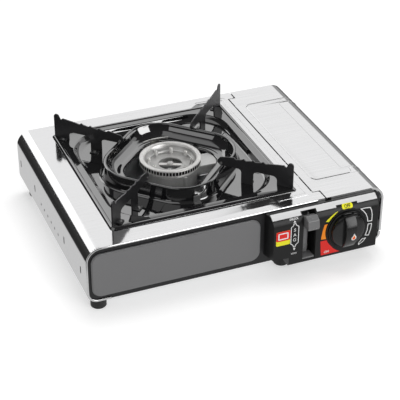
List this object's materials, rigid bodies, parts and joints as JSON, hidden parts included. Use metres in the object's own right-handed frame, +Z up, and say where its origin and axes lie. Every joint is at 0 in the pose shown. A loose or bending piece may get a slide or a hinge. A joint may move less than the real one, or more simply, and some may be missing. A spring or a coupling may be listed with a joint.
{
  "type": "camping stove",
  "caption": "Portable single-burner gas stove in a folded steel case, with a lift-off drip tray and pan supports, a hinged cartridge lid, a control knob and a cartridge lock lever.",
  "frame": {"origin": "on the surface the stove stands on, under the middle of its outline", "axes": "+X to the right of someone facing the controls, +Y to the back, +Z up"},
  "size_m": [0.34, 0.293, 0.1115],
  "materials": {
    "stainless": "polished stainless sheet with a fine grain",
    "galvanised": "zinc coated sheet",
    "inlay_grey": "satin grey lacquer",
    "plate_black": "satin black lacquer",
    "bezel_black": "fine grained black plastic",
    "band_silver": "bright silver foil",
    "enamel_black": "deep gloss black enamel",
    "support_black": "semi-matt black enamel",
    "lug_steel": "dark enamelled steel",
    "cast_aluminium": "die cast, lightly blasted",
    "burner_alloy": "turned and polished",
    "guard_steel": "bare steel, slightly straw coloured",
    "ceramic": "unglazed white",
    "brass": "bare turned brass",
    "zinc_screws": "bright zinc plating",
    "lead_red": "silicone insulation",
    "foot_rubber": "black rubber",
    "guide_nylon": "natural nylon",
    "knob_black": "satin black moulding",
    "lever_grey": "dark grey moulding",
    "linkage_steel": "plated strip"
  },
  "bodies": {
    "case": {"outer_shell": "stainless", "rear_panel": "galvanised", "base_pan": "galvanised", "front_plate": "plate_black", "front_inlay": "inlay_grey", "control_bezel": "bezel_black", "bezel_band": "band_silver", "bezel_screws": "zinc_screws", "partition_wall": "galvanised", "cartridge_trough": "galvanised", "cartridge_saddles": "bezel_black", "regulator_body": "cast_aluminium", "regulator_cap": "brass", "regulator_bracket": "galvanised", "regulator_screws": "zinc_screws", "gas_jet": "brass", "burner_body": "cast_aluminium", "burner_ring": "burner_alloy", "burner_screw": "zinc_screws", "burner_bracket": "galvanised", "heat_plate": "cast_aluminium", "electrode_guard": "guard_steel", "electrode": "ceramic", "ignition_lead": "lead_red", "piezo_igniter": "bezel_black", "foot_front_left": "foot_rubber", "foot_rear_left": "foot_rubber", "foot_front_middle": "foot_rubber", "foot_rear_middle": "foot_rubber", "foot_front_right": "foot_rubber", "foot_rear_right": "foot_rubber", "foot_screws": "zinc_screws", "case_rivets": "zinc_screws", "hinge_lugs": "galvanised", "hinge_pins": "zinc_screws", "pusher_guides": "guide_nylon", "lever_pivot": "zinc_screws", "lever_spring": "zinc_screws"},
    "tray": {"drip_tray": "enamel_black", "wind_shield": "enamel_black", "pan_support_front_left": "support_black", "pan_support_front_right": "support_black", "pan_support_rear_left": "support_black", "pan_support_rear_right": "support_black", "support_rivets": "lug_steel", "tray_lugs": "lug_steel"},
    "lid": {"cartridge_lid": "stainless", "lid_ears": "galvanised", "lid_stiffener": "galvanised"},
    "knob": {"control_knob": "knob_black", "valve_spindle": "brass", "spindle_cam": "guide_nylon"},
    "lever": {"lever_arm": "linkage_steel", "lever_tab": "lever_grey"},
    "pusher": {"pusher_bar": "linkage_steel", "pusher_plate": "linkage_steel"}
  },
  "joints": [
    {"name": "tray_lift", "type": "slide", "parent": "case", "child": "tray", "axis": [0, 0, 1], "range_m": [0, 0.06]},
    {"name": "lid_hinge", "type": "hinge", "parent": "case", "child": "lid", "pos_m": [0.095, 0.0155, 0.076], "axis": [0, -1, 0], "range_deg": [0, 95]},
    {"name": "knob_turn", "type": "hinge", "parent": "case", "child": "knob", "pos_m": [0.117, -0.14, 0.047], "axis": [0, -1, 0], "range_deg": [0, 135]},
    {"name": "lever_swing", "type": "hinge", "parent": "case", "child": "lever", "pos_m": [0.0783, -0.0405, 0.049], "axis": [1, 0, 0], "range_deg": [0, 20], "deforming": ["lever_spring"]},
    {"name": "pusher_slide", "type": "slide", "parent": "case", "child": "pusher", "axis": [0, -1, 0], "range_m": [0, 0.0067]}
  ],
  "couplings": [
    {"joint": "pusher_slide", "follows": "lever_swing", "m_per_rad": 0.018904}
  ]
}
